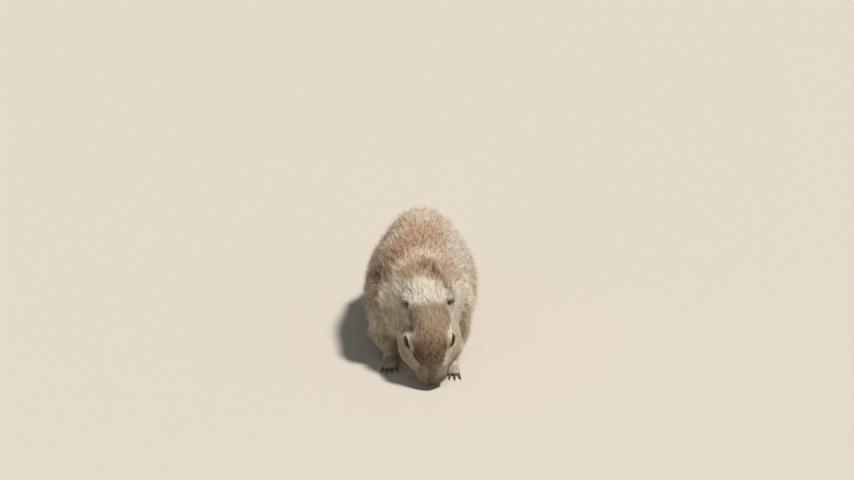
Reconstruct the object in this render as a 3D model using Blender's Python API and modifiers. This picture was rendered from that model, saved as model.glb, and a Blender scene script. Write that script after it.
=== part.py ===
"""A prairie dog, life-size, on all fours with its back arched and its nose at the ground.

Lengths are in metres and +Z is up. The animal faces -Y, so its left side is at +X. The solids are the
outline of the coat. One body is modelled whole, from lofts, tubes and ellipsoids that a voxel remesh fuses,
and is then parted by thin cuts into the parts that a person would name. Eyes and claws are solids of their own.
"""

import math

import bmesh
import bpy
import numpy as np
from mathutils import Matrix, Vector

MM = 0.001

# Driving dimensions
TRUNK_HALF_WIDTH = 0.0450
BACK_HEIGHT = 0.1058
BODY_LENGTH = 0.195
TAIL_TIP_Y = 0.272
HEAD_LENGTH = 0.066
CHEEK_HALF_WIDTH = 0.026
EYE_RADIUS = 0.006
CUT_GAP = 0.00035

# The head hangs with the nose forward and down. It is a little off the body's middle, leans and rolls
NOSE_TIP = Vector((0.0098, 0.0, 0.0052))
HEAD_PITCH = math.radians(32)
HEAD_LEAN = math.radians(-3.6)
HEAD_ROLL = math.radians(3)
HEAD = (
    Matrix.Translation(NOSE_TIP)
    @ Matrix.Rotation(HEAD_LEAN, 4, "Y")
    @ Matrix.Rotation(-HEAD_PITCH, 4, "X")
    @ Matrix.Rotation(HEAD_ROLL, 4, "Z")
)

# The centres of eye and ear: across, along and above the head's axis
EYE_PLACE = (0.0141, 0.0346, 0.0055)
EAR_PLACE = (0.0168, 0.0640, 0.0070)

# How far the toes of each foot are to the side, and behind the nose
FOREPAWS = {"left": (0.0262, 0.0225), "right": (-0.0245, 0.0345)}
HIND_TOES = {"left": (0.0280, 0.0940), "right": (-0.0275, 0.0990)}
SIDES = {"left": 1, "right": -1}

# Where the body is parted: along the head, above its axis, and behind the nose
MUZZLE_END, JAW_END, JAW_TOP = 0.013, 0.042, -0.009
CHEST_END, BELLY_END, TAIL_START, TAIL_MIDDLE = 0.090, 0.132, 0.196, 0.240

COARSE_VOXEL, FINE_VOXEL = 0.0016, 0.0009
COARSE_SMOOTHS, FINE_SMOOTHS = 22, 3
BODY_TRIANGLES = 3100

# Colour and roughness of each kind of surface
COATS = {
    "back": ((0.47, 0.30, 0.17), 0.85),
    "pale": ((0.68, 0.55, 0.38), 0.85),
    "face": ((0.42, 0.27, 0.15), 0.80),
    "foot": ((0.60, 0.46, 0.33), 0.75),
    "tail_end": ((0.09, 0.06, 0.05), 0.85),
    "ear": ((0.28, 0.19, 0.14), 0.75),
    "eye": ((0.012, 0.008, 0.006), 0.08),
    "claw": ((0.06, 0.05, 0.045), 0.45),
}


def clear_scene():
    for obj in list(bpy.data.objects):
        bpy.data.objects.remove(obj, do_unlink=True)


def in_head(across, along, above):
    """A point given from the nose tip: to the animal's left, towards the crown, and out of the forehead."""
    return HEAD @ Vector((across, -above, along))


def smooth_through(keys, at):
    """Values at the given places on a smooth curve through rows of (place, value, value, ...)."""
    table = np.array(keys, float)
    place, value = table[:, 0], table[:, 1:]
    slope = np.gradient(value, place, axis=0)
    i = np.clip(np.searchsorted(place, at) - 1, 0, len(place) - 2)
    step = (place[i + 1] - place[i])[:, None]
    t = ((at - place[i]) / step[:, 0])[:, None]
    return (
        (2 * t**3 - 3 * t**2 + 1) * value[i]
        + (t**3 - 2 * t**2 + t) * step * slope[i]
        + (3 * t**2 - 2 * t**3) * value[i + 1]
        + (t**3 - t**2) * step * slope[i + 1]
    )


def loft(rings):
    """A closed tube through rings of equally many points, with a fan at each end."""
    bm = bmesh.new()
    loops = [[bm.verts.new(p) for p in ring] for ring in rings]
    for low, high in zip(loops, loops[1:]):
        for i in range(len(low)):
            j = (i + 1) % len(low)
            bm.faces.new((low[i], low[j], high[j], high[i]))
    bm.faces.new(reversed(loops[0]))
    bm.faces.new(loops[-1])
    bmesh.ops.recalc_face_normals(bm, faces=bm.faces)
    return bm


def ellipsoid(place, turn=None, segments=28):
    """A ball squashed and turned by a matrix: place holds (centre, radii)."""
    centre, radii = place
    matrix = Matrix.Translation(centre) @ (turn or Matrix()) @ Matrix.Diagonal((*radii, 1))
    bm = bmesh.new()
    bmesh.ops.create_uvsphere(bm, u_segments=segments, v_segments=segments * 2 // 3, radius=1, matrix=matrix)
    return bm


def in_head_ellipsoid(centre, radii):
    """An ellipsoid in the head's own directions, its radii across, along and above."""
    across, along, above = radii
    return ellipsoid((in_head(*centre), (across, above, along)), HEAD.to_3x3().to_4x4())


def tube(points, radii, flat=1.0, sides=16):
    """A tapering tube with round ends along a path. flat is its height as a share of its width."""
    path = [Vector(p) for p in points]
    rings = []
    for i, (p, r) in enumerate(zip(path, radii)):
        ahead = (path[min(i + 1, len(path) - 1)] - path[max(i - 1, 0)]).normalized()
        side = ahead.cross(Vector((0, 0, 1)))
        side = side.normalized() if side.length > 1e-4 else Vector((1, 0, 0))
        up = side.cross(ahead)
        ends = {0: (-0.95, -0.6, 0), len(path) - 1: (0, 0.6, 0.95)}.get(i, (0,))
        for share in ends:
            size = r * math.sqrt(1 - share**2)
            middle = p + ahead * share * r
            rings.append([
                middle + side * size * math.cos(a) + up * size * flat * math.sin(a)
                for a in np.linspace(0, 2 * math.pi, sides, endpoint=False)
            ])
    return loft(rings)


def trunk():
    """Neck and trunk as upright slices, each widest low down and rounded above and below that level."""
    # How far behind the nose, then the middle, top, widest level, bottom, half width and how far it narrows
    # towards the back
    slices = [
        (22 * MM, 6.5 * MM, 70 * MM, 52 * MM, 40 * MM, 17 * MM, 0.0),
        (34 * MM, 4.5 * MM, 77.5 * MM, 47 * MM, 27 * MM, 26 * MM, 0.0),
        (48 * MM, 2.0 * MM, 86 * MM, 43 * MM, 19 * MM, 34.5 * MM, 0.02),
        (64 * MM, 0.5 * MM, 95 * MM, 40 * MM, 13 * MM, 41 * MM, 0.05),
        (84 * MM, 0.0, 102.4 * MM, 38 * MM, 10 * MM, 0.98 * TRUNK_HALF_WIDTH, 0.10),
        (104 * MM, 0.5 * MM, BACK_HEIGHT, 37.5 * MM, 8.5 * MM, TRUNK_HALF_WIDTH, 0.16),
        (124 * MM, 1.5 * MM, 103.6 * MM, 37 * MM, 8 * MM, 0.98 * TRUNK_HALF_WIDTH, 0.22),
        (144 * MM, 2.5 * MM, 94 * MM, 36 * MM, 8 * MM, 0.93 * TRUNK_HALF_WIDTH, 0.27),
        (164 * MM, 3.0 * MM, 79 * MM, 34 * MM, 8 * MM, 0.85 * TRUNK_HALF_WIDTH, 0.30),
        (180 * MM, 3.0 * MM, 61 * MM, 32 * MM, 10 * MM, 0.70 * TRUNK_HALF_WIDTH, 0.26),
        (190 * MM, 3.0 * MM, 46 * MM, 32 * MM, 18 * MM, 0.45 * TRUNK_HALF_WIDTH, 0.20),
        (BODY_LENGTH, 3.0 * MM, 36 * MM, 32 * MM, 27 * MM, 0.16 * TRUNK_HALF_WIDTH, 0.0),
    ]
    count, sides = 48, 36
    first, last = slices[0][0], slices[-1][0]
    places = first + (last - first) * np.sin(np.linspace(0, math.pi / 2, count))
    angles = np.linspace(0, 2 * math.pi, sides, endpoint=False)
    rings = []
    for y, (middle, top, level, bottom, half, narrowing) in zip(places, smooth_through(slices, places)):
        rings.append([
            (
                middle + half * math.cos(a) * (1 - narrowing * max(math.sin(a), 0)),
                y,
                level + (top - level if math.sin(a) > 0 else level - bottom) * math.sin(a),
            )
            for a in angles
        ])
    return loft(rings)


def skull():
    """The head without its cheeks: slices across its axis, from the nose to behind the ears."""
    # Along the head from the nose tip, then half width, height over the axis, depth under it, how pear-like
    slices = [
        (0.4 * MM, 4.2 * MM, 4.2 * MM, 3.2 * MM, 0.0),
        (3 * MM, 6.9 * MM, 6.6 * MM, 7.0 * MM, 0.02),
        (8 * MM, 10.8 * MM, 9.0 * MM, 11.0 * MM, 0.06),
        (15 * MM, 14.6 * MM, 11.8 * MM, 14.0 * MM, 0.12),
        (23 * MM, 16.6 * MM, 15.0 * MM, 16.0 * MM, 0.18),
        (31 * MM, 17.8 * MM, 17.6 * MM, 17.4 * MM, 0.22),
        (38 * MM, 18.8 * MM, 19.2 * MM, 18.2 * MM, 0.22),
        (48 * MM, 19.8 * MM, 20.0 * MM, 18.8 * MM, 0.20),
        (60 * MM, 20.4 * MM, 17.8 * MM, 19.0 * MM, 0.16),
        (72 * MM, 20.2 * MM, 12.5 * MM, 18.5 * MM, 0.10),
        (86 * MM, 18.0 * MM, 4.0 * MM, 16.5 * MM, 0.05),
    ]
    count, sides = 40, 32
    first, last = slices[0][0], slices[-1][0]
    places = first + (last - first) * (1 - np.cos(np.linspace(0, math.pi / 2, count)))
    angles = np.linspace(0, 2 * math.pi, sides, endpoint=False)
    rings = []
    for along, (half, over, under, pear) in zip(places, smooth_through(slices, places)):
        rings.append([
            in_head(
                half * math.cos(a) * (1 - pear * math.sin(a)),
                along,
                (over - under) / 2 + (over + under) / 2 * math.sin(a),
            )
            for a in angles
        ])
    return loft(rings)


def head_masses(side):
    """Cheek, muscle of the jaw, whisker pad and brow on one side."""
    cheek = (side * (CHEEK_HALF_WIDTH - 11.5 * MM), 36 * MM, -6.5 * MM)
    jaw = (side * 10 * MM, 24 * MM, -8 * MM)
    pad = (side * 5.5 * MM, 9.0 * MM, -1.8 * MM)
    brow = (side * 9.8 * MM, 35.5 * MM, 12 * MM)
    return [
        in_head_ellipsoid(cheek, (11.5 * MM, 20.5 * MM, 12.5 * MM)),
        in_head_ellipsoid(jaw, (9.5 * MM, 14 * MM, 8.5 * MM)),
        in_head_ellipsoid(pad, (6.8 * MM, 7.6 * MM, 7.2 * MM)),
        in_head_ellipsoid(brow, (6.0 * MM, 9.0 * MM, 4.6 * MM)),
    ]


def ear(side):
    """A low round ear: a thin dish that opens forwards and outwards. It returns the ear and its hollow."""
    across, along, above = EAR_PLACE
    turn = (
        HEAD.to_3x3().to_4x4()
        @ Matrix.Rotation(math.radians(48 * side), 4, "Z")
        @ Matrix.Rotation(math.radians(48), 4, "X")
    )
    centre = in_head(side * across, along, above)
    shell = ellipsoid((centre, (6.0 * MM, 3.6 * MM, 5.8 * MM)), turn)
    hollow_at = centre + turn.to_3x3() @ Vector((0, -2.6 * MM, 0.9 * MM))
    hollow = ellipsoid((hollow_at, (4.2 * MM, 3.8 * MM, 3.9 * MM)), turn, 12)
    return shell, hollow


def elbow(name):
    return Vector((SIDES[name] * 29.5 * MM, 62 * MM, 20 * MM))


def foreleg_masses(name):
    """Shoulder, upper arm and forearm."""
    side = SIDES[name]
    x, y = FOREPAWS[name]
    shoulder = ((side * 28.5 * MM, 60 * MM, 46 * MM), (13 * MM, 20 * MM, 26 * MM))
    wrist = Vector((x, y + 18 * MM, 8 * MM))
    return [
        ellipsoid(shoulder),
        tube([(side * 27 * MM, 62 * MM, 42 * MM), elbow(name)], [14 * MM, 10.5 * MM]),
        tube([elbow(name), elbow(name).lerp(wrist, 0.5), wrist], [10.5 * MM, 8.0 * MM, 5.0 * MM]),
    ]


def toe_paths(name):
    """For each toe of a forepaw: its first point, its middle, its tip, its radius and its claw's length."""
    x, y = FOREPAWS[name]
    side = SIDES[name]
    for i in range(5):
        spread = (i - 1.5) / 1.5
        if i == 4:
            root = Vector((x - side * 3.7 * MM, y + 13.5 * MM, 3.0 * MM))
            tip = root + Vector((-side * 1.4 * MM, -4.2 * MM, -1.6 * MM))
            yield root, root.lerp(tip, 0.5) + Vector((0, 0, 0.5 * MM)), tip, 1.7 * MM, 3.2 * MM
            continue
        root = Vector((x + side * spread * 3.0 * MM, y + 12 * MM, 3.7 * MM))
        reach = 10.8 * MM - 2.0 * MM * abs(spread - 0.15)
        tip = root + Vector((side * spread * 2.1 * MM, -reach, -2.3 * MM))
        yield root, root.lerp(tip, 0.5) + Vector((0, 0, 1.1 * MM)), tip, 1.9 * MM, 6.8 * MM


def hind_toe_paths(name):
    """The same for a hind foot, whose five toes lie side by side."""
    x, y = HIND_TOES[name]
    side = SIDES[name]
    for i in range(5):
        spread = (i - 2) / 2
        root = Vector((x + side * spread * 5.0 * MM, y + 14 * MM + 1.5 * MM * abs(spread), 4.6 * MM))
        reach = 12.2 * MM - 4.2 * MM * spread**2
        tip = root + Vector((side * (spread * 2.2 * MM + 0.8 * MM), -reach, -2.2 * MM))
        yield root, root.lerp(tip, 0.5) + Vector((0, 0, 0.9 * MM)), tip, 2.3 * MM, 5.6 * MM


def forepaw(name):
    """The paw's back and its toes."""
    x, y = FOREPAWS[name]
    side = SIDES[name]
    made = [
        tube(
            [(x, y + 19 * MM, 5.6 * MM), (x, y + 15 * MM, 3.3 * MM), (x + side * 0.4 * MM, y + 11 * MM, 3.1 * MM)],
            [4.9 * MM, 5.3 * MM, 4.9 * MM],
            flat=0.78,
        )
    ]
    return made + [tube([a, b, c], [r, r, 0.86 * r], sides=12) for a, b, c, r, _ in toe_paths(name)]


def hindleg_masses(name):
    """Haunch and knee, with the shank hidden under them."""
    side = SIDES[name]
    y = HIND_TOES[name][1]
    haunch = ((2 * MM + side * 28.5 * MM, y + 40 * MM, 35 * MM), (15.5 * MM, 32 * MM, 29 * MM))
    knee = ((1 * MM + side * 32.5 * MM, y + 18 * MM, 25 * MM), (9.5 * MM, 15 * MM, 15 * MM))
    return [ellipsoid(haunch), ellipsoid(knee)]


def hind_foot(name):
    """The long flat sole from the heel to the toes."""
    x, y = HIND_TOES[name]
    side = SIDES[name]
    heel = (x - side * 3.2 * MM, y + 52 * MM, 4.6 * MM)
    arch = (x - side * 1.8 * MM, y + 34 * MM, 4.6 * MM)
    ball = (x, y + 15 * MM, 4.4 * MM)
    made = [tube([heel, arch, ball], [6.2 * MM, 6.2 * MM, 7.0 * MM], flat=0.84)]
    return made + [tube([a, b, c], [r, r, 0.86 * r], sides=12) for a, b, c, r, _ in hind_toe_paths(name)]


def tail():
    """A short, flat tail that runs down from the rump to lie on the ground."""
    path = [
        (4.0 * MM, 178 * MM, 38 * MM, 13 * MM),
        (4.4 * MM, 194 * MM, 30 * MM, 13 * MM),
        (4.0 * MM, 210 * MM, 21.5 * MM, 12.5 * MM),
        (2.6 * MM, 228 * MM, 12.5 * MM, 12.5 * MM),
        (0.2 * MM, 245 * MM, 7.5 * MM, 12 * MM),
        (-2.6 * MM, 259 * MM, 5.0 * MM, 9.5 * MM),
        (-5.0 * MM, TAIL_TIP_Y - 5 * MM, 3.4 * MM, 5.0 * MM),
    ]
    return tube([row[:3] for row in path], [row[3] for row in path], flat=0.86)


def object_of(bm, name):
    """A bmesh as an object in the scene."""
    mesh = bpy.data.meshes.new(name)
    bm.to_mesh(mesh)
    bm.free()
    obj = bpy.data.objects.new(name, mesh)
    bpy.context.scene.collection.objects.link(obj)
    return obj


def joined(bms, name):
    """Several bmeshes as one object."""
    whole = bmesh.new()
    for bm in bms:
        part = bpy.data.meshes.new(name)
        bm.to_mesh(part)
        bm.free()
        whole.from_mesh(part)
        bpy.data.meshes.remove(part)
    return object_of(whole, name)


def bake_modifiers(obj):
    """Replaces the object's mesh by its evaluated one, as triangles, and drops its modifiers."""
    bpy.context.view_layer.update()
    graph = bpy.context.evaluated_depsgraph_get()
    mesh = bpy.data.meshes.new_from_object(obj.evaluated_get(graph))
    obj.modifiers.clear()
    obj.data = mesh
    bm = bmesh.new()
    bm.from_mesh(mesh)
    bmesh.ops.triangulate(bm, faces=bm.faces)
    bm.to_mesh(mesh)
    bm.free()
    return obj


def fuse(obj, voxel, smooths):
    """One skin round overlapping shapes, with its creases rounded."""
    remesh = obj.modifiers.new("fuse", "REMESH")
    remesh.mode = "VOXEL"
    remesh.voxel_size = voxel
    soften = obj.modifiers.new("soften", "SMOOTH")
    soften.factor = 0.5
    soften.iterations = smooths
    return bake_modifiers(obj)


def thin_out(obj, triangles):
    """Fewer triangles, kept where the shape bends."""
    decimate = obj.modifiers.new("thin", "DECIMATE")
    decimate.ratio = triangles / len(obj.data.polygons)
    return bake_modifiers(obj)


def boolean(obj, other, operation):
    """The object cut by, or cut down to, another."""
    cut = obj.modifiers.new("cut", "BOOLEAN")
    cut.operation = operation
    cut.solver = "EXACT"
    cut.object = other
    return bake_modifiers(obj)


def flatten(obj):
    """Joins the faces that lie nearly in one plane, to leave fewer triangles along the cuts."""
    flat = obj.modifiers.new("flat", "DECIMATE")
    flat.decimate_type = "DISSOLVE"
    flat.angle_limit = math.radians(5)
    return bake_modifiers(obj)


def copy_of(obj, name):
    made = obj.copy()
    made.data = obj.data.copy()
    made.name = name
    bpy.context.scene.collection.objects.link(made)
    return made


def keep_largest(obj):
    """Drops the crumbs that a cut can leave beside a part."""
    bm = bmesh.new()
    bm.from_mesh(obj.data)
    left = set(bm.verts)
    islands = []
    while left:
        found, edge = set(), {left.pop()}
        while edge:
            found |= edge
            edge = {e.other_vert(v) for v in edge for e in v.link_edges} - found
        left -= found
        islands.append(found)
    islands.sort(key=len)
    bmesh.ops.delete(bm, geom=[v for island in islands[:-1] for v in island], context="VERTS")
    bm.to_mesh(obj.data)
    bm.free()
    return obj


def box(low, high, frame=None):
    """A box between two corners, in a frame of its own, grown by a margin: a function of the margin."""
    low, high = Vector(low), Vector(high)

    def grown(margin):
        size = high - low + Vector((2 * margin,) * 3)
        matrix = (frame or Matrix()) @ Matrix.Translation((low + high) / 2) @ Matrix.Diagonal((*size, 1))
        bm = bmesh.new()
        bmesh.ops.create_cube(bm, size=1, matrix=matrix)
        return bm

    return grown


def head_box(low, high):
    """The same in the head's directions, with corners given across, along and above."""
    return box((low[0], -high[2], low[1]), (high[0], -low[2], high[1]), HEAD)


def ball(centre, radii, turn=None):
    """An ellipsoid as a function of the margin that it is grown by."""
    return lambda margin: ellipsoid((Vector(centre), [r + margin for r in radii]), turn, 12)


def sleeve(points, radii):
    """A tube as a function of the margin that it is grown by."""
    return lambda margin: tube(points, [r + margin for r in radii], sides=8)


def claw(root, tip, radius, length, margin=0.0):
    """A claw that grows out of a toe's end and curves down to the ground."""
    ahead = tip - root
    ahead = Vector((ahead.x, ahead.y, 0)).normalized()
    side = ahead.cross(Vector((0, 0, 1)))
    start = tip + ahead * (0.3 * radius) + Vector((0, 0, 0.35 * radius))
    drop = start.z - 0.8 * MM
    rings = []
    for t, thick in ((0.0, 1.1), (0.45, 0.85), (0.8, 0.55), (1.0, 0.27)):
        middle = start + ahead * ((length + 0.25 * radius) * t) - Vector((0, 0, drop * t**1.7))
        size = thick * MM + margin
        rings.append([
            middle + side * size * math.cos(a) + Vector((0, 0, 1.15 * size * math.sin(a)))
            for a in np.linspace(0, 2 * math.pi, 6, endpoint=False)
        ])
    if margin:
        rings[0] = [p - ahead * margin for p in rings[0]]
    return loft(rings)


def paint(obj, look):
    """Gives an object a material of its own, in the look of its kind."""
    colour, roughness = COATS[look]
    material = bpy.data.materials.new(obj.name)
    material.use_nodes = True
    material.diffuse_color = (*colour, 1)
    shader = material.node_tree.nodes["Principled BSDF"]
    shader.inputs["Base Color"].default_value = (*colour, 1)
    shader.inputs["Roughness"].default_value = roughness
    obj.data.materials.clear()
    obj.data.materials.append(material)


def whole_body():
    """Everything but eyes and claws as one closed mesh that stands on flats at the floor's level."""
    masses = [trunk(), skull(), tail()]
    for name, side in SIDES.items():
        masses += head_masses(side) + foreleg_masses(name) + hindleg_masses(name)
    body = fuse(joined(masses, "body"), COARSE_VOXEL, COARSE_SMOOTHS)

    fine, hollows = [], []
    for name, side in SIDES.items():
        shell, hollow = ear(side)
        fine.append(shell)
        hollows.append(hollow)
        fine += forepaw(name) + hind_foot(name)
    fine.append(in_head_ellipsoid((0, 1.6 * MM, 1.4 * MM), (3.8 * MM, 2.3 * MM, 3.4 * MM)))
    extras = joined(fine, "extras")
    both = bmesh.new()
    both.from_mesh(body.data)
    both.from_mesh(extras.data)
    bpy.data.objects.remove(extras)
    bpy.data.objects.remove(body)
    body = fuse(object_of(both, "body"), FINE_VOXEL, FINE_SMOOTHS)
    thin_out(body, BODY_TRIANGLES)
    for hollow in hollows:
        cut_away(body, hollow)
    above_floor = object_of(box((-0.2, -0.2, 0), (0.2, 0.5, 0.3))(0), "above_floor")
    boolean(body, above_floor, "INTERSECT")
    bpy.data.objects.remove(above_floor)
    return body


def cut_away(obj, bm):
    cutter = object_of(bm, "cutter")
    boolean(obj, cutter, "DIFFERENCE")
    bpy.data.objects.remove(cutter)


def take(rest, name, region, look):
    """Parts what lies in a region from the rest, with a thin gap between them."""
    inside = object_of(region(0), "inside")
    part = boolean(copy_of(rest, name), inside, "INTERSECT")
    bpy.data.objects.remove(inside)
    cut_away(rest, region(CUT_GAP))
    keep_largest(part)
    paint(part, look)
    return part


def eyes(rest):
    """Two balls in sockets of the head."""
    made = []
    for name, side in SIDES.items():
        centre = in_head(side * EYE_PLACE[0], EYE_PLACE[1], EYE_PLACE[2])
        cut_away(rest, ellipsoid((centre, [EYE_RADIUS + CUT_GAP] * 3), segments=14))
        eye = object_of(ellipsoid((centre, [EYE_RADIUS] * 3), segments=14), f"eye_{name}")
        paint(eye, "eye")
        made.append(eye)
    return made


def claws(rest):
    """Five claws on each foot, each in a socket of its toe."""
    made, sockets = [], []
    for foot, paths in (("fore", toe_paths), ("hind", hind_toe_paths)):
        for name in SIDES:
            for i, (_, middle, tip, radius, length) in enumerate(paths(name)):
                sockets.append(claw(middle, tip, radius, length, CUT_GAP))
                part = object_of(claw(middle, tip, radius, length), f"claw_{foot}_{name}_{i + 1}")
                paint(part, "claw")
                made.append(part)
    cutter = joined(sockets, "sockets")
    boolean(rest, cutter, "DIFFERENCE")
    bpy.data.objects.remove(cutter)
    return made


def leg_regions(name):
    """Name, region and look of each part of the legs on one side, from the ground up."""
    side = SIDES[name]
    x, y = FOREPAWS[name]
    hind_x, hind_y = HIND_TOES[name]
    wrist = (x, y + 18 * MM, 7 * MM)
    paw_frame = Matrix.Translation((x, y, 7.8 * MM)) @ Matrix.Rotation(math.radians(16), 4, "X")
    paw = box((-10 * MM, -12 * MM, -20 * MM), (10 * MM, 18 * MM, 0), paw_frame)
    foot_low = (hind_x - 14 * MM, hind_y - 8 * MM, -2 * MM)
    foot_high = (hind_x + 14 * MM, hind_y + 66 * MM, 9.6 * MM)
    haunch_at = (2 * MM + side * 44 * MM, hind_y + 36 * MM, 33 * MM)
    shoulder_at = (side * 42 * MM, 62 * MM, 42 * MM)
    return [
        (f"forepaw_{name}", paw, "foot"),
        (f"forearm_{name}", sleeve([wrist, elbow(name)], [9 * MM, 12.5 * MM]), "pale"),
        (f"hind_foot_{name}", box(foot_low, foot_high), "foot"),
        (f"haunch_{name}", ball(haunch_at, (23 * MM, 36 * MM, 33 * MM)), "back"),
        (f"shoulder_{name}", ball(shoulder_at, (21 * MM, 22 * MM, 34 * MM)), "pale"),
    ]


def ear_region(side):
    """What stands out of the head at one ear."""
    across, along, above = EAR_PLACE
    outward = HEAD.to_3x3() @ Vector((side * 1.0, -0.25, 0.0)) * (1.2 * MM)
    return ball(in_head(side * across, along, above) + outward, (7.0 * MM, 6.8 * MM, 7.2 * MM))


def below_plane(point, tilt, frame=None):
    """Everything under a plane through a point that tilts about the X axis."""
    turn = (frame or Matrix()) @ Matrix.Translation(point) @ Matrix.Rotation(tilt, 4, "X")
    return box((-0.1, -0.15, -0.2), (0.1, 0.15, 0), turn)


def centre_on_floor(parts):
    """Moves everything so that the origin is on the floor, under the middle of the whole."""
    corners = np.array([v.co for part in parts for v in part.data.vertices])
    middle = (corners.min(0) + corners.max(0)) / 2
    shift = Matrix.Translation((-middle[0], -middle[1], 0))
    for part in parts:
        part.data.transform(shift)


def main():
    clear_scene()
    rest = whole_body()
    parts = eyes(rest) + claws(rest)
    for name, side in SIDES.items():
        parts.append(take(rest, f"ear_{name}", ear_region(side), "ear"))
        for part_name, region, look in leg_regions(name):
            parts.append(take(rest, part_name, region, look))

    wide = 45 * MM
    nape, withers = (0, -18 * MM, HEAD_LENGTH + 2 * MM), (0, 58 * MM, 80 * MM)
    regions = [
        ("muzzle", head_box((-wide, -wide, -wide), (wide, MUZZLE_END, wide)), "face"),
        ("jaw", head_box((-wide, MUZZLE_END, -wide), (wide, JAW_END, JAW_TOP)), "pale"),
        ("head", below_plane(nape, math.radians(-24), HEAD), "face"),
        ("neck", below_plane(withers, math.radians(-102)), "pale"),
        ("tail_end", box((-0.1, TAIL_MIDDLE, -0.1), (0.1, 0.4, 0.1)), "tail_end"),
        ("tail_base", box((-0.1, TAIL_START, -0.1), (0.1, TAIL_MIDDLE, 0.1)), "back"),
        ("chest", box((-0.1, 0, -0.1), (0.1, CHEST_END, 0.2)), "back"),
        ("belly", box((-0.1, CHEST_END, -0.1), (0.1, BELLY_END, 0.2)), "back"),
    ]
    parts += [take(rest, name, region, look) for name, region, look in regions]
    keep_largest(rest)
    rest.name = "rump"
    paint(rest, "back")
    parts.append(rest)
    for part in parts:
        flatten(part)
    centre_on_floor(parts)

    animal = bpy.data.collections.new("prairie_dog")
    bpy.context.scene.collection.children.link(animal)
    for part in parts:
        for user in list(part.users_collection):
            user.objects.unlink(part)
        animal.objects.link(part)
        part.data.shade_smooth()
        part.data.set_sharp_from_angle(angle=math.radians(35))


main()
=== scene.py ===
import math

import bmesh
import bpy
import numpy as np
from mathutils import Matrix, Vector
from mathutils.bvhtree import BVHTree
from mathutils.kdtree import KDTree


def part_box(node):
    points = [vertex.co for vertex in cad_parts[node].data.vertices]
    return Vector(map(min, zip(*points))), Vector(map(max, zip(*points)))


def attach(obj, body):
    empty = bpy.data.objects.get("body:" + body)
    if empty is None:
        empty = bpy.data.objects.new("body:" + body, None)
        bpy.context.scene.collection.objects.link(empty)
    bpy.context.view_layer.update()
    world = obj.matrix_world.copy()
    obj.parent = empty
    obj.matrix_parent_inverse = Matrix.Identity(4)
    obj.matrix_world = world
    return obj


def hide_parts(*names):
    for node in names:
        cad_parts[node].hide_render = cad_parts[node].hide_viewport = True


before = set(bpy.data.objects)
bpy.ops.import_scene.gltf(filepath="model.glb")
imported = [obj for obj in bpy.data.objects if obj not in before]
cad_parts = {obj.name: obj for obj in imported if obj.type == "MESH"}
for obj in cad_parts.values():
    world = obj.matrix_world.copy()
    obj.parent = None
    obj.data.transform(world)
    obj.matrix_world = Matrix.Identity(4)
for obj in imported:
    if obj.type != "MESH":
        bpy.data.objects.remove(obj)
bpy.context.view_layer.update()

# A prairie dog grazing with its head down, life size, facing -Y, with its left side at +X and the floor at
# z = 0. One skin takes the place of the flesh, and solid hairs in locks grow from it. Lengths are in
# metres, or in millimetres where a comment says so.

draws = np.random.default_rng(20)
scene = bpy.context.scene
MM, TO_MM = 0.001, 1000.0

# The head's own frame: across to the animal's left, along from nose to nape, above towards the crown.
HEAD_TURN = (
    Matrix.Rotation(math.radians(-3.6), 4, "Y")
    @ Matrix.Rotation(math.radians(-32.0), 4, "X")
    @ Matrix.Rotation(math.radians(3.0), 4, "Z")
)
EYE_ACROSS, EYE_ALONG, EYE_ABOVE = 0.0141, 0.0346, 0.0055
EYE_RADIUS = 0.0060
EAR_ACROSS, EAR_ALONG, EAR_ABOVE = 0.0168, 0.0640, 0.0070


def box_middle(node):
    """The middle of a CAD node's box."""
    low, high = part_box(node)
    return (Vector(low) + Vector(high)) / 2


HEAD = (
    Matrix.Translation(box_middle("eye_left") - HEAD_TURN @ Vector((EYE_ACROSS, -EYE_ABOVE, EYE_ALONG)))
    @ HEAD_TURN
)


def in_head(across, along, above):
    """A place in the head's frame as a place in the scene."""
    return HEAD @ Vector((across, -above, along))


def head_direction(across, along, above):
    """A direction in the head's frame as one in the scene."""
    return np.array(HEAD_TURN @ Vector((across, -above, along)))


def to_head(places):
    """Places in the scene, one a row, as across, along and above in the head's frame."""
    local = (places - np.array(HEAD.translation)) @ np.array(HEAD_TURN.to_3x3())
    return np.stack((local[:, 0], local[:, 2], -local[:, 1]), axis=1)


def norms(rows):
    """The length of each row."""
    return np.linalg.norm(rows, axis=1)


def unit(rows):
    """Each row at length one."""
    return rows / np.maximum(norms(rows), 1e-9)[:, None]


def dot_rows(first, second):
    """The dot product of each row of one array with the same row of the other."""
    return np.einsum("ij,ij->i", first, second)


def rise(value, low, high):
    """0 below low, 1 above high and an even rise between."""
    share = np.clip((value - low) / (high - low), 0.0, 1.0)
    return share * share * (3.0 - 2.0 * share)


def fall(value, low, high):
    """1 below low, 0 above high and an even fall between."""
    return 1.0 - rise(value, low, high)


def in_scene(name, data):
    """A new object in the scene."""
    made = bpy.data.objects.new(name, data)
    scene.collection.objects.link(made)
    return made


def mesh_of(name, shape):
    """A bmesh as a mesh; the bmesh is freed."""
    mesh = bpy.data.meshes.new(name)
    shape.to_mesh(mesh)
    shape.free()
    return mesh


# The camera looks down on the back of the head, as in the photograph.
AIM = Vector((0.0051, 0.0079, 0.0677))
CAMERA_FAR = 3.5
CAMERA_ABOVE = math.radians(24.0)
camera_data = bpy.data.cameras.new("camera")
camera_data.lens = 180.0
camera_data.sensor_width = 36.0
camera_data.clip_start = 0.05
camera = in_scene("camera", camera_data)
camera.location = AIM + CAMERA_FAR * Vector((0.0, -math.cos(CAMERA_ABOVE), math.sin(CAMERA_ABOVE)))
camera.rotation_euler = (math.radians(90.0) - CAMERA_ABOVE, 0.0, 0.0)
scene.camera = camera


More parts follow.
